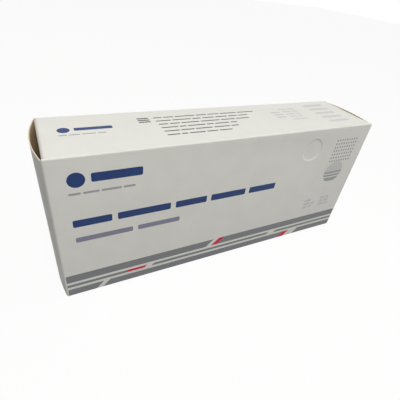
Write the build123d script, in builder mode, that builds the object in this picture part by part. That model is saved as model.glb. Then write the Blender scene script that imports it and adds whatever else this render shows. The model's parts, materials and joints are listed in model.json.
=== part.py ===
from build123d import *
import math
import os

# Reverse tuck-end folding carton of white-lined board, closed at both ends.
# X runs along the carton, the large front panel faces -Y, and +Z is up.
# The origin is under the middle of the bottom panel. Sizes are millimetres.

# Overall size, to the outer faces of the four panels
length = 230.0
depth = 50.0
height = 100.0

# The board and its folds, each fold radius taken at the outer face
board = 0.5
long_fold_radius = 0.8
closure_fold_radius = 1.5
tuck_fold_radius = 1.3
dust_fold_radius = 1.8

# The end closures, which bow outward and end in a tongue that tucks in
closure_bow = 3.6
closure_gap = 0.8
tongue_length = 16.0
tongue_shoulder = 1.0
tongue_corner_radius = 9.0
tongue_clearance = 0.4
fold_gap = 0.2

# The dust flaps, turned in under each closure from the top and bottom panels
dust_setback = 0.4
dust_length = 34.0
dust_shoulder = 11.0
dust_taper = 6.0
dust_corner_radius = 4.0
dust_clearance = 0.6
corner_relief = 0.4

# The glue flap, on the back panel's lower edge and bonded inside the bottom panel
glue_width = 15.0
glue_taper = 7.0

# The shallow round mark pressed into the front panel
mark_x = 60.7
mark_z = 83.8
mark_radius = 9.0
mark_draft = 1.5
mark_depth = 0.4

# The tube of four panels ends a little inside the closures, at the outer faces
# of the dust flaps. Its glued seam ends short of where those flaps bend.
half_length = length / 2
half_depth = depth / 2
tube_half = half_length - dust_setback
seam_half = tube_half - dust_fold_radius - corner_relief
seam_top = board + long_fold_radius
raw_edge = half_depth - long_fold_radius
fold_lead = 2 * closure_fold_radius
closure_height = height - 2 * closure_gap

# The closure turns about the crest of its fold. bow_angle is how far the bowed
# closure leans outward where it leaves that fold.
reach = depth - board - tongue_clearance
bow_angle = 2 * math.atan(2 * closure_bow / reach)
half_corner = (math.pi / 2 + bow_angle) / 2
crest = closure_fold_radius * (1 / math.sin(half_corner) - 1)
hinge_x = -half_length + crest * math.cos(half_corner)
hinge_y = -half_depth + crest * math.sin(half_corner)

# The tongue is an arc about the hinge, so it swings clear of the back panel.
tongue_radius = half_depth - board - tongue_clearance - hinge_y
tuck_y = hinge_y + math.sqrt(tongue_radius**2 - (hinge_x + half_length) ** 2)
tuck_angle = math.degrees(math.atan2(tuck_y - hinge_y, -half_length - hinge_x))
tongue_turn = math.degrees(tongue_length / tongue_radius)
tongue_reach = tongue_radius * math.sin(tongue_length / tongue_radius)

# A closure's fold is shared between its panel and the closure along this plane,
# which holds the hinge axis.
fold_plane = Plane(
    origin=(hinge_x, hinge_y, 0),
    x_dir=(math.cos(half_corner), math.sin(half_corner), 0),
    z_dir=(-math.sin(half_corner), math.cos(half_corner), 0),
)

# The dust flaps reach from beside the closure's fold to just short of its tongue.
dust_front = -raw_edge + corner_relief
dust_back = hinge_y + tongue_radius - board - dust_clearance
dust_tip = height - dust_length


# A strip of board seen edge on: its outer face line with the corners rounded,
# thickened to one side. Each fold is given as its sharp corner and its radius.
def board_strip(plane, outer_line, folds, side=Side.RIGHT):
    with BuildSketch(plane) as strip:
        with BuildLine() as face:
            outer_line()
            for corner, radius in folds:
                fillet(face.vertices().sort_by_distance(corner)[0], radius)
            offset(amount=board, side=side)
        make_face()
    return strip.sketch


# A closure in plan, from the end of the front panel round to the tongue's tip
def closure_line():
    corner = (-half_length, -half_depth)
    Line((-half_length + fold_lead, -half_depth), corner)
    SagittaArc(corner, (-half_length, tuck_y), closure_bow)
    CenterArc((hinge_x, hinge_y), tongue_radius, tuck_angle, -tongue_turn)


closure_folds = [
    ((-half_length, -half_depth, 0), closure_fold_radius),
    ((-half_length, tuck_y, 0), tuck_fold_radius),
]
closure_strip = board_strip(Plane.XY.offset(closure_gap), closure_line, closure_folds)


# Closure: a bowed panel, its tuck fold and a curved tongue with rounded corners
with BuildPart() as left_closure:
    extrude(closure_strip, amount=closure_height)
    split(bisect_by=fold_plane.offset(fold_gap / 2), keep=Keep.TOP)
    with BuildSketch(Plane.XZ):
        with Locations((-half_length, height / 2)):
            Rectangle(2 * tongue_length, height, align=(Align.MIN, Align.CENTER))
        with Locations((hinge_x + tongue_reach, height / 2)):
            RectangleRounded(
                tongue_reach + 2 * tongue_corner_radius,
                closure_height - 2 * tongue_shoulder,
                tongue_corner_radius,
                align=(Align.MAX, Align.CENTER),
                mode=Mode.SUBTRACT,
            )
    extrude(amount=-half_depth, mode=Mode.SUBTRACT)

# The other end is closed by the same closure after a half turn.
with BuildPart() as right_closure:
    add(left_closure.part, rotation=(0, 0, 180))

# The front panel's end, bent over as far as the crest of the closure's fold
with BuildPart() as panel_end:
    extrude(closure_strip, amount=closure_height)
    split(bisect_by=fold_plane.offset(-fold_gap / 2), keep=Keep.BOTTOM)


def dust_line():
    corner = (-tube_half, height)
    Polyline((-tube_half + 2 * dust_fold_radius, height), corner, (-tube_half, dust_tip))


# Dust flap: turned down from the top panel, and tapered on the tongue's side
with BuildPart() as dust_flap:
    dust_fold = [((-tube_half, dust_back, height), dust_fold_radius)]
    bent = board_strip(Plane.XZ.offset(-dust_back), dust_line, dust_fold, Side.LEFT)
    extrude(bent, amount=dust_back - dust_front)
    with BuildSketch(Plane.YZ.offset(-half_length)) as outline:
        with BuildLine():
            Polyline(
                (dust_front, height),
                (dust_back, height),
                (dust_back, height - dust_shoulder),
                (dust_back - dust_taper, dust_tip),
                (dust_front, dust_tip),
                close=True,
            )
        make_face()
        fillet(outline.vertices().group_by(Axis.Y)[0], dust_corner_radius)
    extrude(amount=half_length, mode=Mode.INTERSECT)


# The tube in section, from the bottom panel's raw back edge round over the top
# and down to the lower edge of the back panel
def shell_line():
    Polyline(
        (raw_edge, 0),
        (-half_depth, 0),
        (-half_depth, height),
        (half_depth, height),
        (half_depth, seam_top),
    )


def seam_line():
    Polyline((half_depth, 2 * seam_top), (half_depth, board), (raw_edge - glue_width, board))


# Sleeve: the four panels, the glued seam, and at each end the bent panel end,
# two dust flaps and the free edge that the tongue tucks behind
with BuildPart() as sleeve:
    corners = [(0, -half_depth, 0), (0, -half_depth, height), (0, half_depth, height)]
    shell_folds = [(corner, long_fold_radius) for corner in corners]
    seam_fold = [((0, half_depth, board), long_fold_radius)]
    extrude(board_strip(Plane.YZ, shell_line, shell_folds), amount=tube_half, both=True)
    extrude(board_strip(Plane.YZ, seam_line, seam_fold), amount=seam_half, both=True)
    with BuildSketch(Plane.XY.offset(board)):
        with BuildLine():
            Polyline(
                (-seam_half, raw_edge),
                (-seam_half + glue_taper, raw_edge - glue_width),
                (-seam_half, raw_edge - glue_width),
                close=True,
            )
        make_face()
        mirror(about=Plane.YZ)
    extrude(amount=board, mode=Mode.SUBTRACT)

    for half_turn in (0, 180):
        end = Plane.XY.rotated((0, 0, half_turn))
        with BuildSketch(end.offset(closure_gap)):
            with Locations((-half_length + fold_lead, -half_depth)):
                Rectangle(fold_lead, board, align=(Align.MAX, Align.MIN))
        extrude(amount=closure_height, mode=Mode.SUBTRACT)
        for low in (0, height - board):
            with BuildSketch(end.offset(low)):
                with Locations((-tube_half, dust_back + corner_relief)):
                    slot = dust_back - dust_front + 2 * corner_relief
                    Rectangle(dust_fold_radius, slot, align=(Align.MIN, Align.MAX))
            extrude(amount=board, mode=Mode.SUBTRACT)
        with BuildSketch(end.offset(seam_top)):
            with Locations((-half_length, half_depth)):
                Rectangle(2 * dust_setback, board, align=(Align.MIN, Align.MAX))
        extrude(amount=height - 2 * seam_top)
        lower_flap = mirror(dust_flap.part, about=Plane.XY.offset(height / 2), mode=Mode.PRIVATE)
        for piece in (panel_end.part, dust_flap.part, lower_flap):
            add(piece, rotation=(0, 0, half_turn))

    # The mark is the board pushed in, so its back stands out inside the panel.
    for face_y, mode in ((-half_depth + board, Mode.ADD), (-half_depth, Mode.SUBTRACT)):
        with Locations(Location((mark_x, face_y + mark_depth / 2, mark_z), (90, 0, 0))):
            Cone(mark_radius - mark_draft, mark_radius, mark_depth, mode=mode)

os.makedirs("parts", exist_ok=True)

sleeve.part.label = "sleeve"
export_step(sleeve.part, "parts/sleeve.step")

left_closure.part.label = "left_closure"
export_step(left_closure.part, "parts/left_closure.step")

right_closure.part.label = "right_closure"
export_step(right_closure.part, "parts/right_closure.step")
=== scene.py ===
import json
from math import asin, atan2, cos, pi, radians, sin

import bmesh
import bpy
from mathutils import Matrix, Vector
from mathutils.geometry import intersect_sphere_sphere_2d


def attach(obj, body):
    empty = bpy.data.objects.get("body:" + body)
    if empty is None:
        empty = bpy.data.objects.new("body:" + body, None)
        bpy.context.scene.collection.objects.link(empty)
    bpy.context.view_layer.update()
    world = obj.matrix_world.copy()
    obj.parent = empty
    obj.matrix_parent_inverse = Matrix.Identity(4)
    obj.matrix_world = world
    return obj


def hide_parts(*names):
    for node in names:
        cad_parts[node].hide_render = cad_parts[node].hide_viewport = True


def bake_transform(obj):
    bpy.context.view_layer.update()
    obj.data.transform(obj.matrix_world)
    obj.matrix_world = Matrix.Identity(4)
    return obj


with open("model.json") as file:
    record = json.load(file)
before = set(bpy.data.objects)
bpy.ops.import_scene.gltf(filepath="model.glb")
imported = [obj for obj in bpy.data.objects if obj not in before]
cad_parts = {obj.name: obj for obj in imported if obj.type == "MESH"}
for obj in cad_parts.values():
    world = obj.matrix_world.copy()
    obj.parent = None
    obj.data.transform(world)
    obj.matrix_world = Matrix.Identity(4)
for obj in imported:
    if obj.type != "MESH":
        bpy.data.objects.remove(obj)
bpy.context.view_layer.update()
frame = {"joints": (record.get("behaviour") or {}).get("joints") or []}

# A long tuck-end carton of white-lined folding board, lying on its narrow bottom
# panel. It is die-cut and printed flat, folded into a tube, glued along one seam,
# and closed at each end by a bowed closure whose tongue tucks in.

# The view: the photograph was taken from close by, above the carton's left half,
# with a wide lens held a little askew.
scene = bpy.context.scene
scene.view_settings.view_transform = "Standard"
camera = bpy.data.objects.new("camera", bpy.data.cameras.new("camera"))
camera.data.sensor_width = 36
camera.data.lens = 28.49
camera.data.clip_start = 0.01
turned = Matrix.Rotation(radians(-31.19), 4, "Z")
tipped = Matrix.Rotation(radians(90 - 35.62), 4, "X")
askew = Matrix.Rotation(radians(8.36), 4, "Z")
camera.matrix_world = Matrix.Translation((-0.11399, -0.16816, 0.17826)) @ turned @ tipped @ askew
scene.collection.objects.link(camera)
scene.camera = camera

# The board: white clay coating under a satin varnish outside, plain light brown
# pulp inside, and cream-coloured plies on every cut edge. Folds and corners are
# scuffed a little and carry a little painted shade, and the sheet is never quite flat.
mm = 0.001
length, depth, height = 230 * mm, 50 * mm, 100 * mm
board = 0.5 * mm


def srgb(red, green, blue):
    shown = [channel / 255 for channel in (red, green, blue)]
    return [s / 12.92 if s < 0.04045 else ((s + 0.055) / 1.055) ** 2.4 for s in shown] + [1]


class Finish:
    """A node material on a Principled shader, with short ways to add nodes."""

    def __init__(self, name):
        self.material = bpy.data.materials.new(name)
        self.material.use_nodes = True
        self.nodes = self.material.node_tree.nodes
        self.links = self.material.node_tree.links
        self.shader = self.nodes["Principled BSDF"]
        self.place = self.nodes.new("ShaderNodeTexCoord").outputs["Object"]

    def join(self, source, target):
        self.links.new(source, target)

    def node(self, kind, **settings):
        made = self.nodes.new("ShaderNode" + kind)
        for key, value in settings.items():
            setattr(made, key, value)
        return made

    def math(self, operation, first, second=0.0):
        made = self.node("Math", operation=operation)
        for socket, value in zip(made.inputs, (first, second)):
            if isinstance(value, (int, float)):
                socket.default_value = value
            else:
                self.join(value, socket)
        return made.outputs[0]

    def noise(self, size, detail=3.0, stretch=(1, 1, 1), seed=0.0):
        """Noise whose spots are about this size in metres."""
        fit = self.node("Mapping")
        fit.inputs["Location"].default_value = (seed, seed, seed)
        fit.inputs["Scale"].default_value = [s / size for s in stretch]
        self.join(self.place, fit.inputs["Vector"])
        made = self.node("TexNoise")
        made.inputs["Scale"].default_value = 1.0
        made.inputs["Detail"].default_value = detail
        self.join(fit.outputs["Vector"], made.inputs["Vector"])
        return made.outputs["Fac"]

    def spread(self, value, low, high, to_low, to_high):
        made = self.node("MapRange", interpolation_type="SMOOTHSTEP")
        self.join(value, made.inputs["Value"])
        limits = {"From Min": low, "From Max": high, "To Min": to_low, "To Max": to_high}
        for key, number in limits.items():
            made.inputs[key].default_value = number
        return made.outputs["Result"]

    def mix(self, amount, first, second):
        made = self.node("Mix", data_type="RGBA")
        self.join(amount, made.inputs["Factor"])
        for colour_socket, value in zip(made.inputs[6:8], (first, second)):
            if isinstance(value, list):
                colour_socket.default_value = value
            else:
                self.join(value, colour_socket)
        return made.outputs[2]

    def bump(self, value, distance, below=None):
        made = self.node("Bump")
        made.inputs["Strength"].default_value = 1.0
        made.inputs["Distance"].default_value = distance
        self.join(value, made.inputs["Height"])
        if below is not None:
            self.join(below, made.inputs["Normal"])
        return made.outputs["Normal"]


def fold_rub_and_shade(finish):
    """How much the board is scuffed here, with painted shade along the folds: 1 on a fold or
    corner, 0 on the panels.
    """
    centre = finish.node("Mapping")
    centre.inputs["Location"].default_value = (0, 0, -height / 2)
    finish.join(finish.place, centre.inputs["Vector"])
    split = finish.node("SeparateXYZ")
    finish.join(centre.outputs["Vector"], split.inputs["Vector"])
    inside = []
    for axis, side in zip("XYZ", (length, depth, height)):
        far = finish.math("ABSOLUTE", split.outputs[axis])
        inside.append(finish.math("SUBTRACT", far, side / 2))
    pairs = [finish.math("MINIMUM", inside[i], inside[(i + 1) % 3]) for i in range(3)]
    near = finish.math("MAXIMUM", finish.math("MAXIMUM", pairs[0], pairs[1]), pairs[2])
    crease = finish.spread(near, -0.9 * mm, 0.0, 0, 1)
    patches = finish.spread(finish.noise(5 * mm, 4, seed=3), 0.42, 0.62, 0.15, 1)
    return finish.math("MULTIPLY", crease, patches)


def coated_face(name, colour, worn_and_shaded_colour, roughness, cloud=0.035):
    """The coated and varnished outer face, bare or under one ink."""
    finish = Finish(name)
    mottle = finish.noise(14 * mm, 3, seed=1)
    pores = finish.noise(0.55 * mm, 4, stretch=(0.45, 1, 1), seed=2)
    tint = finish.spread(mottle, 0.3, 0.7, 0, 1)
    deeper = [c * (1 - cloud) for c in colour[:3]] + [1]
    clouded = finish.mix(tint, deeper, colour)
    grained = finish.mix(finish.spread(pores, 0.62, 0.75, 0, 0.25), clouded, deeper)
    # Folds and corners take the rub colour: scuffed coating or ink, and on the white board also
    # painted shade.
    wear_and_shade = fold_rub_and_shade(finish)
    scuffed_and_shaded = finish.mix(finish.math("MULTIPLY", wear_and_shade, 0.35), grained, worn_and_shaded_colour)
    finish.join(scuffed_and_shaded, finish.shader.inputs["Base Color"])
    satin = finish.spread(mottle, 0.3, 0.7, roughness - 0.05, roughness + 0.05)
    dulled = finish.math("ADD", satin, finish.math("MULTIPLY", wear_and_shade, 0.2))
    finish.join(dulled, finish.shader.inputs["Roughness"])
    finish.shader.inputs["Specular IOR Level"].default_value = 0.3
    waves = finish.bump(finish.noise(38 * mm, 1, stretch=(0.5, 1, 1), seed=5), 0.35 * mm)
    finish.join(finish.bump(pores, 0.006 * mm, waves), finish.shader.inputs["Normal"])
    return finish.material


def pulp_face():
    """The uncoated inner face: matt light brown pulp with long fibres and flecks."""
    finish = Finish("inner_pulp")
    fibres = finish.noise(0.7 * mm, 5, stretch=(0.2, 1, 1), seed=7)
    blotch = finish.noise(9 * mm, 3, seed=8)
    cloudy = finish.spread(blotch, 0.3, 0.7, 0, 1)
    base = finish.mix(cloudy, srgb(226, 203, 170), srgb(234, 213, 182))
    haired = finish.mix(finish.spread(fibres, 0.35, 0.7, 0, 1), base, srgb(208, 182, 146))
    specks = finish.noise(1.6 * mm, 1, seed=9)
    flecked = finish.mix(finish.spread(specks, 0.72, 0.78, 0, 0.7), haired, srgb(96, 82, 68))
    finish.join(flecked, finish.shader.inputs["Base Color"])
    finish.join(finish.spread(fibres, 0.3, 0.7, 0.82, 0.95), finish.shader.inputs["Roughness"])
    finish.shader.inputs["Specular IOR Level"].default_value = 0.3
    finish.join(finish.bump(fibres, 0.03 * mm), finish.shader.inputs["Normal"])
    return finish.material


def cut_edge():
    """The die-cut edge: cream plies torn a little by the knife."""
    finish = Finish("cut_edge")
    plies = finish.noise(0.3 * mm, 3, seed=11)
    nicks = finish.noise(2.4 * mm, 4, seed=12)
    bands = finish.spread(plies, 0.35, 0.65, 0, 1)
    layered = finish.mix(bands, srgb(242, 232, 214), srgb(228, 214, 192))
    nicked = finish.mix(finish.spread(nicks, 0.6, 0.7, 0, 0.6), layered, srgb(206, 188, 162))
    finish.join(nicked, finish.shader.inputs["Base Color"])
    finish.join(finish.spread(nicks, 0.3, 0.7, 0.75, 0.9), finish.shader.inputs["Roughness"])
    finish.shader.inputs["Specular IOR Level"].default_value = 0.3
    finish.join(finish.bump(plies, 0.04 * mm), finish.shader.inputs["Normal"])
    return finish.material


# The greyish rub colour on the white board is partly scuffed coating, partly painted shade along
# the folds and corners.
white = coated_face("white_coating", srgb(235, 235, 230), srgb(214, 212, 206), 0.5)
faces_of_board = [white, pulp_face(), cut_edge()]

# The blank before folding. A point on it is (along the carton, round the tube),
# seen from the printed side. Round the tube it starts at the raw back edge of the
# bottom panel, and folds lead to the front, top and back panels and the glue flap.
fold = 0.8 * mm
quarter = fold * pi / 2
narrow = depth - 2 * fold
tall = height - 2 * fold
seam_top = board + fold
raw_edge = depth / 2 - fold
glue_width = 15 * mm
bottom_panel = 0.0
front_panel = bottom_panel + narrow + quarter
top_panel = front_panel + tall + quarter
back_panel = top_panel + narrow + quarter
glue_flap = back_panel + height - fold - seam_top + quarter
tube_route = [
    (narrow, 0), (quarter, fold), (tall, 0), (quarter, fold), (narrow, 0),
    (quarter, fold), (height - fold - seam_top, 0), (quarter, fold), (glue_width, 0),
]


def walk(route, distance):
    """Where a strip of board is after this distance along its route of straight
    runs and inward bends, as (forward, inward), and which way it then points."""
    place, heading = Vector((0, 0)), 0.0
    for run, radius in route:
        step = min(distance, run)
        if radius:
            bent = heading + step / radius
            place += radius * Vector((sin(bent) - sin(heading), cos(heading) - cos(bent)))
            heading = bent
        else:
            place += step * Vector((cos(heading), sin(heading)))
        distance -= step
        if distance <= 0:
            break
    return place, heading


def folded(point, flap_root, flap_route, sunk=0.0):
    """The place in space of a point on the blank, once the tube is folded and the
    flap at its end is bent along its own route. sunk is how far it lies inward."""
    along, around = point[0], point[1]
    wall, heading = walk(tube_route, around)
    reach, inward = abs(along), sunk
    if reach > flap_root:
        bent, lean = walk(flap_route, reach - flap_root)
        reach = flap_root + bent.x - sunk * sin(lean)
        inward = bent.y + sunk * cos(lean)
    x = reach if along > 0 else -reach
    y = raw_edge - (wall.x - inward * sin(heading))
    z = wall.y + inward * cos(heading)
    return Vector((x, y, z))


def die_cut(outline):
    """A flat blank cut to this outline of (along, around, corner radius)."""
    cut = bmesh.new()
    corners = [cut.verts.new((along, around, 0)) for along, around, radius in outline]
    cut.faces.new(corners)
    for corner, (along, around, radius) in zip(corners, outline):
        if radius:
            bmesh.ops.bevel(
                cut, geom=[corner], offset=radius, segments=8, profile=0.5, affect="VERTICES"
            )
    return cut


def score(cut, lines, across):
    """Cuts the blank's faces along straight lines, so that they can bend there."""
    way = Vector((1, 0, 0)) if across else Vector((0, 1, 0))
    for line in lines:
        parts = cut.verts[:] + cut.edges[:] + cut.faces[:]
        bmesh.ops.bisect_plane(cut, geom=parts, dist=1e-7, plane_co=way * line, plane_no=way)


def bend_lines(start, run, steps, hold=0.35 * mm):
    """Score lines over one bend, with a narrow strip held flat on each side."""
    bend = [start + run * i / steps for i in range(steps + 1)]
    return [start - hold] + bend + [start + run + hold]


def made_of_board(name, cut):
    """Gives a folded sheet its thickness, inner face and cut edges."""
    sheet = bpy.data.meshes.new(name)
    cut.to_mesh(sheet)
    cut.free()
    piece = bpy.data.objects.new(name, sheet)
    scene.collection.objects.link(piece)
    for face in faces_of_board:
        sheet.materials.append(face)
    wall = piece.modifiers.new("wall", "SOLIDIFY")
    wall.thickness = board
    wall.offset = -1
    wall.material_offset = 1
    wall.material_offset_rim = 2
    return plain(piece)


def plain(piece):
    """Turns a piece with live modifiers into a plain mesh with smooth bends."""
    finished = piece.evaluated_get(bpy.context.evaluated_depsgraph_get())
    made = bpy.data.meshes.new_from_object(finished)
    piece.modifiers.clear()
    piece.data = made
    made.name = piece.name
    made.shade_smooth()
    made.set_sharp_from_angle(angle=radians(32))
    return piece


# The sleeve: the tube with its two dust flaps at each end, one folded sheet glued
# along the lower back edge. The left end of the front panel and the right end of
# the back panel run on into the closures, and the other two end in free edges.
tube_half = length / 2 - 0.4 * mm
closure_root = length / 2 - 3 * mm
relief = 0.4 * mm
dust_fold = 1.8 * mm
dust_root = tube_half - dust_fold
dust_quarter = dust_fold * pi / 2
dust_length = 34 * mm
dust_far = narrow - 1.2 * mm
dust_route = [(dust_quarter, dust_fold), (dust_length, 0)]
glue_taper = 7 * mm
seam_half = dust_root - relief


def dust_flap_edge(start, way):
    """The outline of a panel's end with its dust flap, from the closure's side
    to the tongue's side. way is 1 or -1 as that goes round the tube."""
    root = dust_root
    shoulder = root + dust_quarter + 11 * mm - dust_fold
    tip = root + dust_quarter + dust_length - dust_fold
    corners = [
        (tube_half, 0, 0), (root, 0, 0), (root, relief, 0),
        (tip, relief, 4 * mm), (tip, dust_far - 6 * mm, 4 * mm), (shoulder, dust_far, 0),
        (root, dust_far, 0), (root, dust_far + relief, 0), (tube_half, dust_far + relief, 0),
        (tube_half, narrow, 0),
    ]
    return [(out, start + way * across, radius) for out, across, radius in corners]


# Each end's outline is listed round the tube. The closure's panel ends where the
# closure takes over, and the opposite panel reaches out to its free edge.
left_edge = (
    dust_flap_edge(bottom_panel + narrow, -1)[::-1]
    + [(tube_half, front_panel, 0), (closure_root, front_panel, 0)]
    + [(closure_root, front_panel + tall, 0), (tube_half, front_panel + tall, 0)]
    + dust_flap_edge(top_panel, 1)
    + [(tube_half, back_panel + board, 0), (length / 2, back_panel + board, 0)]
    + [(length / 2, glue_flap - quarter, 0), (seam_half, glue_flap - quarter, 0)]
)
right_edge = (
    dust_flap_edge(bottom_panel, 1)[1:]
    + [(tube_half, front_panel + board, 0), (length / 2, front_panel + board, 0)]
    + [(length / 2, front_panel + tall - board, 0), (tube_half, front_panel + tall - board, 0)]
    + dust_flap_edge(top_panel + narrow, -1)[::-1]
    + [(tube_half, back_panel, 0), (closure_root, back_panel, 0), (closure_root, glue_flap, 0)]
)
glue_edge = [(seam_half, glue_flap, 0), (seam_half - glue_taper, glue_flap + glue_width, 0)]
mirrored = [(-out, around, radius) for out, around, radius in left_edge + glue_edge]
blank = die_cut(right_edge + glue_edge + mirrored[::-1])
for start in (front_panel, top_panel, back_panel, glue_flap):
    score(blank, bend_lines(start - quarter, quarter, 8), across=False)
for side in (-1, 1):
    score(blank, [side * line for line in bend_lines(dust_root, dust_quarter, 8)], across=True)

# The round mark near the right of the front panel: the board is pressed in by a
# blunt die before it is folded, so its wall is soft at both ends.
mark = Vector((60.7 * mm, front_panel + 83.8 * mm - fold, 0))
mark_radius = 9 * mm
mark_wall = 1.5 * mm
mark_depth = 0.4 * mm
around_mark = max(
    (f for f in blank.faces if all(front_panel < v.co.y < front_panel + tall for v in f.verts)),
    key=lambda f: f.calc_area(),
)
panel_edges = around_mark.edges[:]
blank.faces.remove(around_mark)
wall_rings, ring_points = 8, 72
turns = [2 * pi * i / ring_points for i in range(ring_points)]
rings = []
for ring in range(wall_rings + 1):
    radius = mark_radius - mark_wall * ring / wall_rings
    rings.append([blank.verts.new(mark + radius * Vector((cos(t), sin(t), 0))) for t in turns])
rim_edges = [blank.edges.new((rings[0][i - 1], rings[0][i])) for i in range(ring_points)]
bmesh.ops.triangle_fill(blank, use_beauty=True, edges=panel_edges + rim_edges)
for outer, inner in zip(rings, rings[1:]):
    for i in range(ring_points):
        blank.faces.new((outer[i - 1], outer[i], inner[i], inner[i - 1]))
blank.faces.new(rings[-1])


def on_dust_flap(point):
    """Whether a point of the blank is on a dust flap. Only the flaps bend here."""
    right = ((bottom_panel, 1), (top_panel + narrow, -1))
    left = ((bottom_panel + narrow, -1), (top_panel, 1))
    slack = 0.01 * mm
    return any(
        relief - slack < (point.y - start) * way < dust_far + slack
        for start, way in (right if point.x > 0 else left)
    )


for vertex in blank.verts:
    away = (vertex.co - mark).length
    share = min(max((mark_radius - away) / mark_wall, 0), 1)
    pressed = mark_depth * share * share * (3 - 2 * share)
    root = dust_root if on_dust_flap(vertex.co) else length
    vertex.co = folded(vertex.co, root, dust_route, pressed)
sleeve = made_of_board("carton_sleeve", blank)
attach(sleeve, "sleeve")
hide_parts("sleeve")

# The closures: the bowed end panel and its tongue, one strip of the same board.
# It leaves the panel in a soft fold, bows outward over the whole depth, and turns
# in again at the tuck fold. The tongue is an arc about the hinge.
closure_fold = 1.5 * mm
tuck_fold = 1.3 * mm
bow = 3.6 * mm
tongue_length = 16 * mm
tongue_clearance = 0.4 * mm
tongue_shoulder = 1 * mm
tongue_corner = 9 * mm
bow_eases = 0.3

# The closure's route starts at its panel's end. The centres of its arcs are worked
# out as (forward, inward), each arc touching the next.
hinge_place = next(j["pos_m"] for j in frame["joints"] if j["name"] == "left_closure_fold")
hinge = Vector((-hinge_place[0], hinge_place[1] + depth / 2))
tongue_radius = depth - board - tongue_clearance - hinge.y
chord = hinge.y + (tongue_radius**2 - (length / 2 - hinge.x) ** 2) ** 0.5
bow_radius = chord**2 / (8 * bow) + bow / 2
bow_centre = Vector((length / 2 + bow - bow_radius, chord / 2))
fold_run = ((bow_radius - closure_fold) ** 2 - (closure_fold - bow_centre.y) ** 2) ** 0.5
fold_centre = Vector((bow_centre.x + fold_run, closure_fold))
tuck_spots = intersect_sphere_sphere_2d(
    bow_centre, bow_radius - tuck_fold, hinge, tongue_radius - tuck_fold
)
tuck_centre = Vector(max(tuck_spots, key=lambda spot: spot[1]))


def turned_at(centre, spot):
    """How far the strip has turned where its outer face is in line with both."""
    return atan2(spot.x - centre.x, centre.y - spot.y) % (2 * pi)


after_fold = turned_at(bow_centre, fold_centre)
after_bow = turned_at(bow_centre, tuck_centre)
after_tuck = turned_at(hinge, tuck_centre)
at_tip = turned_at(hinge, Vector((length / 2, chord))) + tongue_length / tongue_radius
closure_route = [
    (fold_centre.x - closure_root, 0),
    (closure_fold * after_fold, closure_fold),
    (bow_radius * (after_bow - after_fold), bow_radius),
    (tuck_fold * (after_tuck - after_bow), tuck_fold),
    (tongue_radius * (at_tip - after_tuck), tongue_radius),
]
fold_start = closure_root + closure_route[0][0]
bow_start = fold_start + closure_route[1][0]
tuck_start = bow_start + closure_route[2][0]
tongue_start = tuck_start + closure_route[3][0]
tongue_tip = tongue_start + closure_route[4][0]
closure_seam = bow_start + 0.9 * mm
tongue_edge = (tuck_start + tongue_start) / 2


def closure_piece(name, outline, half_turned):
    """A piece of the left closure's strip, or its twin at the right end."""
    strip = die_cut(outline)
    lines = bend_lines(fold_start, bow_start - fold_start, 12)
    lines += bend_lines(tuck_start, tongue_start - tuck_start, 10)
    for start, end, steps in ((bow_start, tuck_start, 24), (tongue_start, tongue_tip, 8)):
        lines += [start + (end - start) * i / steps for i in range(1, steps)]
    score(strip, [-line for line in lines], across=True)
    for vertex in strip.verts:
        vertex.co = folded(vertex.co, closure_root, closure_route)
        if vertex.co.x < -length / 2:
            eased = 1 - bow_eases * (1 - vertex.co.z / height)
            vertex.co.x = (vertex.co.x + length / 2) * eased - length / 2
    if half_turned:
        bmesh.ops.rotate(strip, verts=strip.verts, matrix=Matrix.Rotation(pi, 3, "Z"))
    return made_of_board(name, strip)


low, high = front_panel, front_panel + tall
closure_outline = [
    (-closure_seam, low, 0), (-closure_seam, high, 0), (-tongue_edge, high, 0),
    (-tongue_edge, high - tongue_shoulder, 0), (-tongue_tip, high - tongue_shoulder, tongue_corner),
    (-tongue_tip, low + tongue_shoulder, tongue_corner), (-tongue_edge, low + tongue_shoulder, 0),
    (-tongue_edge, low, 0),
]
both_ends = (("left", False), ("right", True))
for side, half_turned in both_ends:
    closure = closure_piece("carton_" + side + "_closure", closure_outline, half_turned)
    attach(closure, side + "_closure")
    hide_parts(side + "_closure")

# The hinge folds: the soft, scored crease between each closure and its panel.
fold_outline = [
    (-closure_root, low, 0), (-closure_root, high, 0),
    (-closure_seam, high, 0), (-closure_seam, low, 0),
]
for side, half_turned in both_ends:
    crease = closure_piece("carton_" + side + "_fold", fold_outline, half_turned)
    begins = folded((-fold_start, low), closure_root, closure_route)
    ends = folded((-bow_start, low), closure_root, closure_route)
    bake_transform(crease)

# The print: offset ink laid on the flat sheet before it was cut, under the same
# varnish. It is all plain bars, discs and stripes, in seven inks.
ink_film = 0.012 * mm
paper_rub = srgb(222, 221, 217)
navy = coated_face("navy_ink", srgb(34, 62, 118), paper_rub, 0.45, 0.08)
soft_black = coated_face("soft_black_ink", srgb(84, 86, 90), paper_rub, 0.45, 0.06)
dark_grey = coated_face("dark_grey_ink", srgb(134, 137, 141), paper_rub, 0.45, 0.06)
mid_grey = coated_face("mid_grey_ink", srgb(168, 170, 174), paper_rub, 0.47, 0.05)
pale_grey = coated_face("pale_grey_ink", srgb(212, 213, 212), paper_rub, 0.47, 0.03)
violet_grey = coated_face("violet_grey_ink", srgb(142, 141, 162), paper_rub, 0.45, 0.06)
red = coated_face("red_ink", srgb(222, 32, 78), paper_rub, 0.45, 0.08)


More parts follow.
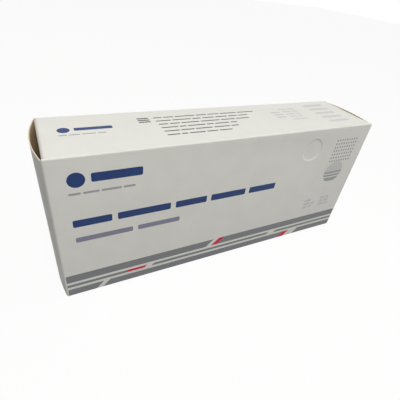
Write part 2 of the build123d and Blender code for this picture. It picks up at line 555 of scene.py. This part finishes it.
def printed(name, films, ink):
    """Joins flat ink films, folds them with the sleeve and lays them on its face."""
    flat = bmesh.new()
    for film in films:
        laid = bpy.data.meshes.new("laid")
        film.to_mesh(laid)
        film.free()
        flat.from_mesh(laid)
        bpy.data.meshes.remove(laid)
    for start in (front_panel, top_panel):
        score(flat, bend_lines(start - quarter, quarter, 8), across=False)
    for vertex in flat.verts:
        vertex.co = folded(vertex.co, length, [], -ink_film)
    sheet = bpy.data.meshes.new(name)
    flat.to_mesh(sheet)
    flat.free()
    sheet.materials.append(ink)
    piece = bpy.data.objects.new(name, sheet)
    scene.collection.objects.link(piece)
    layer = piece.modifiers.new("layer", "SOLIDIFY")
    layer.thickness = 1.5 * ink_film
    layer.offset = -1
    plain(piece)
    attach(piece, "sleeve")


def on_front(right, up):
    """A place on the front panel, in millimetres from its left end and its foot."""
    return -length / 2 + right * mm, front_panel + up * mm - fold


def on_top(right, back):
    """A place on the top panel, in millimetres from its left end and front edge."""
    return -length / 2 + right * mm, top_panel + back * mm - fold


def rounded_bar(place, wide, high, corner):
    """A bar with round corners, from its lower left corner."""
    (x, y), w, h, r = place, wide * mm, high * mm, corner * mm
    return die_cut([(x, y, r), (x + w, y, r), (x + w, y + h, r), (x, y + h, r)])


def disc_slice(centre, radius, foot, head):
    """The part of a disc between two heights, measured from its centre."""
    low, high = asin(foot / radius), asin(head / radius)
    turns = [low + (high - low) * i / 12 for i in range(13)]
    right = [(cos(turn), sin(turn)) for turn in turns]
    left = [(-x, y) for x, y in right[::-1] if x > 1e-6]
    return die_cut([
        (centre[0] + x * radius * mm, centre[1] + y * radius * mm, 0) for x, y in right + left
    ])


# The rows of small bars are set by a node tree: bars of random length stand in
# rows, with even gaps, and a row ends where the next bar would pass its length.
rows_tree = bpy.data.node_groups.new("rows_of_bars", "GeometryNodeTree")
rows_tree.interface.new_socket("Geometry", in_out="OUTPUT", socket_type="NodeSocketGeometry")
row_inputs = {}
for key, kind in (
    ("Rows", "Int"), ("Row pitch", "Float"), ("Row length", "Float"), ("Bars in a row", "Int"),
    ("Bar height", "Float"), ("Shortest bar", "Float"), ("Longest bar", "Float"),
    ("Gap", "Float"), ("Seed", "Int"), ("Ink", "Material"),
):
    socket = rows_tree.interface.new_socket(key, in_out="INPUT", socket_type="NodeSocket" + kind)
    row_inputs[key] = socket.identifier
given = rows_tree.nodes.new("NodeGroupInput").outputs
result = rows_tree.nodes.new("NodeGroupOutput").inputs


def tree_node(kind, values, **settings):
    """Adds a node with its settings. values gives what each named or numbered
    input is joined to or set to."""
    made = rows_tree.nodes.new(kind)
    for key, value in settings.items():
        setattr(made, key, value)
    for key, value in values.items():
        if isinstance(value, bpy.types.NodeSocket):
            rows_tree.links.new(value, made.inputs[key])
        else:
            made.inputs[key].default_value = value
    return made.outputs


def reckon(operation, *values):
    return tree_node("ShaderNodeMath", dict(enumerate(values)), operation=operation)[0]


index = tree_node("GeometryNodeInputIndex", {})[0]
row = reckon("FLOOR", reckon("DIVIDE", index, given["Bars in a row"]))
count = reckon("MULTIPLY", given["Rows"], given["Bars in a row"])
spots = tree_node("GeometryNodeMeshLine", {"Count": count})["Mesh"]
long = tree_node(
    "FunctionNodeRandomValue",
    {2: given["Shortest bar"], 3: given["Longest bar"], "ID": index, "Seed": given["Seed"]},
    data_type="FLOAT",
)[1]
before = tree_node(
    "GeometryNodeAccumulateField",
    {0: reckon("ADD", long, given["Gap"]), "Group ID": row},
    data_type="FLOAT",
)["Trailing"]
middle = reckon("MULTIPLY_ADD", long, 0.5, before)
down = reckon("MULTIPLY", reckon("MULTIPLY", row, given["Row pitch"]), -1.0)
place = tree_node("ShaderNodeCombineXYZ", {"X": middle, "Y": down})[0]
spots = tree_node("GeometryNodeSetPosition", {"Geometry": spots, "Position": place})[0]
fits = tree_node(
    "FunctionNodeCompare",
    {0: reckon("ADD", before, long), 1: given["Row length"]},
    data_type="FLOAT",
    operation="LESS_THAN",
)[0]
unit = {"Size X": 1.0, "Size Y": 1.0, "Vertices X": 2, "Vertices Y": 2}
bar = tree_node("GeometryNodeMeshGrid", unit)["Mesh"]
size = tree_node("ShaderNodeCombineXYZ", {"X": long, "Y": given["Bar height"], "Z": 1.0})[0]
bars = tree_node(
    "GeometryNodeInstanceOnPoints",
    {"Points": spots, "Selection": fits, "Instance": bar, "Scale": size},
)[0]
bars = tree_node("GeometryNodeRealizeInstances", {"Geometry": bars})[0]
bars = tree_node("GeometryNodeSetMaterial", {"Geometry": bars, "Material": given["Ink"]})[0]
rows_tree.links.new(bars, result[0])


def rows_of_bars(place, ink, corner=0.35, **sizes):
    """Rows of bars as a flat film, from the left end of the first row."""
    setter = bpy.data.objects.new("row_setter", bpy.data.meshes.new("row_setter"))
    scene.collection.objects.link(setter)
    rows = setter.modifiers.new("rows", "NODES")
    rows.node_group = rows_tree
    counts = {"Rows": 1, "Bars_in_a_row": 24, "Seed": 1}
    lengths = {"Row_pitch": 5, "Gap": 1.2}
    for key, value in {**counts, **lengths, **sizes}.items():
        slot = row_inputs[key.replace("_", " ")]
        rows[slot] = int(value) if key in counts else value * mm
    rows[row_inputs["Ink"]] = ink
    soft = setter.modifiers.new("corners", "BEVEL")
    soft.affect = "VERTICES"
    soft.width = corner * mm
    soft.segments = 4
    finished = setter.evaluated_get(bpy.context.evaluated_depsgraph_get())
    made = bpy.data.meshes.new_from_object(finished)
    flat = bmesh.new()
    flat.from_mesh(made)
    bpy.data.objects.remove(setter)
    bpy.data.meshes.remove(made)
    bmesh.ops.translate(flat, verts=flat.verts, vec=(*place, 0))
    return flat


navy_films = [
    rounded_bar(on_front(9.6, 82.0), 9, 9, 4.49),
    rounded_bar(on_front(21.5, 84.2), 27.5, 5.4, 1),
    rounded_bar(on_top(10.4, 26.6), 6.6, 6.6, 3.29),
    rounded_bar(on_top(19.2, 28.4), 21, 3.6, 0.8),
    rows_of_bars(
        on_front(9.6, 58.4), navy, corner=0.9, Row_length=151, Bar_height=5, Shortest_bar=9,
        Longest_bar=33, Gap=3.3, Seed=5, Bars_in_a_row=9,
    ),
]
printed("printed_navy", navy_films, navy)
violet_films = [
    rows_of_bars(
        on_front(10, 46.4), violet_grey, corner=0.8, Row_length=97, Bar_height=3.6, Shortest_bar=9,
        Longest_bar=36, Gap=3.2, Seed=3, Bars_in_a_row=6,
    ),
]
printed("printed_violet", violet_films, violet_grey)
black_films = [
    rows_of_bars(
        on_top(57, 38.4), soft_black, Rows=3, Row_pitch=2.7, Row_length=9, Bars_in_a_row=1,
        Bar_height=1.5, Shortest_bar=7.4, Longest_bar=7.6,
    ),
    rows_of_bars(
        on_top(67.8, 38.2), soft_black, Rows=3, Row_length=78, Bar_height=1.2, Shortest_bar=3,
        Longest_bar=14, Gap=1.1, Seed=8,
    ),
    rows_of_bars(
        on_top(67.8, 23.2), soft_black, Rows=3, Row_length=55, Bar_height=1.2, Shortest_bar=3,
        Longest_bar=14, Gap=1.1, Seed=4,
    ),
]
printed("printed_black", black_films, soft_black)
disc = on_front(207.3, 61.0)
disc_radius = 9.5
grey_films = [
    rows_of_bars(
        on_front(9.6, 78.2), mid_grey, Row_length=41, Bar_height=1.3, Shortest_bar=4,
        Longest_bar=13, Seed=2,
    ),
    rows_of_bars(
        on_top(10.4, 23.6), mid_grey, Row_length=31, Bar_height=1, Shortest_bar=3,
        Longest_bar=9, Gap=0.9, Seed=2,
    ),
    rows_of_bars(
        on_front(198.2, 89), mid_grey, Rows=7, Row_pitch=2.95, Row_length=22.6, Bar_height=1.5,
        Shortest_bar=1.2, Longest_bar=1.5, Gap=1.2, Bars_in_a_row=9, Seed=7,
    ),
    disc_slice(disc, disc_radius, -8.6, -5.2),
    disc_slice(disc, disc_radius, -4.2, -2.4),
    disc_slice(disc, disc_radius, -1.4, 0.4),
]
printed("printed_grey", grey_films, mid_grey)
pale_films = [
    disc_slice(disc, disc_radius, 0.4, disc_radius),
    rows_of_bars(
        on_top(168, 38), pale_grey, Rows=5, Row_pitch=4.6, Row_length=17.5, Bar_height=2,
        Shortest_bar=4, Longest_bar=9, Seed=6,
    ),
    rows_of_bars(
        on_top(157, 33), pale_grey, Rows=3, Row_pitch=4.2, Row_length=9.5, Bar_height=2.4,
        Shortest_bar=8.5, Longest_bar=9, Bars_in_a_row=1,
    ),
    rows_of_bars(
        on_top(196, 41), pale_grey, Rows=5, Row_pitch=7.4, Row_length=21, Bar_height=3.4,
        Shortest_bar=19.5, Longest_bar=20, Bars_in_a_row=1,
    ),
    rows_of_bars(
        on_front(188, 35.4), pale_grey, Rows=3, Row_pitch=3.4, Row_length=12.5, Bar_height=2.2,
        Shortest_bar=3, Longest_bar=7, Seed=3,
    ),
    rows_of_bars(
        on_front(205.5, 35.4), pale_grey, Rows=3, Row_pitch=3.4, Row_length=11.5, Bar_height=2.2,
        Shortest_bar=3, Longest_bar=7, Seed=9,
    ),
]
printed("printed_pale", pale_films, pale_grey)

# The band round the foot of the front panel: three dark stripes, the lowest one
# wrapping under the fold, with slanted breaks and a few red strokes in them.
stripe_rows = [(0, 6.0), (8.1, 10.2), (12.3, 18.4)]
breaks = [[(17.5, 21.5), (168, 185)], [(38, 56), (156, 163)], [(98.5, 108)]]
strokes = [[(168, 175)], [(38, 51)], [(103, 108)]]
wrap = 0.4
left_end = (length / 2 - fold_start) / mm
right_end = (length / 2 + tube_half) / mm


def slanted(foot, head, start, end, lean_start=True, lean_end=True):
    """A stretch of a stripe, with its ends upright or slanted as the breaks are."""
    lean = head - foot
    wrapped = foot if foot else -wrap
    head_start = start + lean * lean_start
    head_end = end + lean * lean_end
    corners = [(start, wrapped), (end, wrapped), (head_end, head), (head_start, head)]
    return die_cut([(*on_front(*corner), 0) for corner in corners])


dark_films, red_films = [], []
for (foot, head), gaps, marks in zip(stripe_rows, breaks, strokes):
    ends = [left_end] + [edge for gap in gaps for edge in gap] + [right_end]
    for i in range(0, len(ends), 2):
        whole = (i > 0, i < len(ends) - 2)
        dark_films.append(slanted(foot, head, ends[i], ends[i + 1], *whole))
    red_films += [slanted(foot, head, start, end) for start, end in marks]
printed("printed_stripes", dark_films, dark_grey)
printed("printed_strokes", red_films, red)

# The floor: a plain white sheet that fades into the background and keeps the
# carton's soft shadow.
floor_mesh = bmesh.new()
bmesh.ops.create_grid(floor_mesh, x_segments=1, y_segments=1, size=3)
bmesh.ops.translate(floor_mesh, verts=floor_mesh.verts, vec=(0, 0, -0.02 * mm))
floor = bpy.data.objects.new("floor", bpy.data.meshes.new("floor"))
floor_mesh.to_mesh(floor.data)
floor_mesh.free()
scene.collection.objects.link(floor)


def seen_share(nodes, links, share):
    """How much of the plain white shows to the camera and in reflections."""
    rays = nodes.new("ShaderNodeLightPath").outputs
    total = None
    for kind in ("Is Camera Ray", "Is Glossy Ray", "Is Transmission Ray"):
        step = nodes.new("ShaderNodeMath")
        step.operation = "MULTIPLY_ADD"
        step.use_clamp = True
        step.inputs[1].default_value = share
        step.inputs[2].default_value = 0
        links.new(rays[kind], step.inputs[0])
        if total is not None:
            links.new(total, step.inputs[2])
        total = step.outputs[0]
    return total


paper = bpy.data.materials.new("white_floor")
paper.use_nodes = True
nodes, links = paper.node_tree.nodes, paper.node_tree.links
matt = nodes["Principled BSDF"]
seen = nodes.new("ShaderNodeMix")
seen.data_type = "RGBA"
seen.inputs[6].default_value = srgb(128, 128, 128)
seen.inputs[7].default_value = srgb(250, 250, 250)
links.new(seen_share(nodes, links, 1), seen.inputs[0])
links.new(seen.outputs[2], matt.inputs["Base Color"])
matt.inputs["Roughness"].default_value = 0.9
glow = nodes.new("ShaderNodeEmission")
glow.inputs["Color"].default_value = (1, 1, 1, 1)
glow.inputs["Strength"].default_value = 1.0
blend_in = nodes.new("ShaderNodeMixShader")
links.new(seen_share(nodes, links, 0.92), blend_in.inputs[0])
links.new(matt.outputs[0], blend_in.inputs[1])
links.new(glow.outputs[0], blend_in.inputs[2])
links.new(blend_in.outputs[0], nodes["Material Output"].inputs["Surface"])
floor.data.materials.append(paper)

# The light: a pale surround that is brighter to the right, a large soft lamp above
# and in front, and a weak one from the right.
world = bpy.data.worlds.new("studio")
world.use_nodes = True
scene.world = world
nodes, links = world.node_tree.nodes, world.node_tree.links
surround = nodes["Background"]
surround.inputs["Color"].default_value = srgb(255, 253, 250)
aim = nodes.new("ShaderNodeSeparateXYZ")
links.new(nodes.new("ShaderNodeTexCoord").outputs["Generated"], aim.inputs[0])
dimmed = nodes.new("ShaderNodeMapRange")
for key, number in {"From Min": -0.5, "From Max": 1.0, "To Min": 0.02, "To Max": 0.95}.items():
    dimmed.inputs[key].default_value = number
links.new(aim.outputs["X"], dimmed.inputs["Value"])
links.new(dimmed.outputs["Result"], surround.inputs["Strength"])
backdrop = nodes.new("ShaderNodeBackground")
backdrop.inputs["Color"].default_value = (1, 1, 1, 1)
backdrop.inputs["Strength"].default_value = 1.0
choose = nodes.new("ShaderNodeMixShader")
links.new(seen_share(nodes, links, 1), choose.inputs[0])
links.new(surround.outputs[0], choose.inputs[1])
links.new(backdrop.outputs[0], choose.inputs[2])
links.new(choose.outputs[0], nodes["World Output"].inputs["Surface"])


def soft_lamp(name, place, size, watts, colour):
    lamp = bpy.data.objects.new(name, bpy.data.lights.new(name, "AREA"))
    lamp.data.shape = "DISK"
    lamp.data.size = size
    lamp.data.energy = watts
    lamp.data.color = colour[:3]
    toward = Vector((0, 0, height / 2)) - Vector(place)
    turn = toward.to_track_quat("-Z", "Y").to_matrix().to_4x4()
    lamp.matrix_world = Matrix.Translation(place) @ turn
    scene.collection.objects.link(lamp)


soft_lamp("key_lamp", (-0.14, -0.4, 0.8), 0.3, 4.3, srgb(255, 253, 249))
soft_lamp("fill_lamp", (0.8, -0.3, 0.6), 0.4, 0.8, srgb(246, 250, 255))
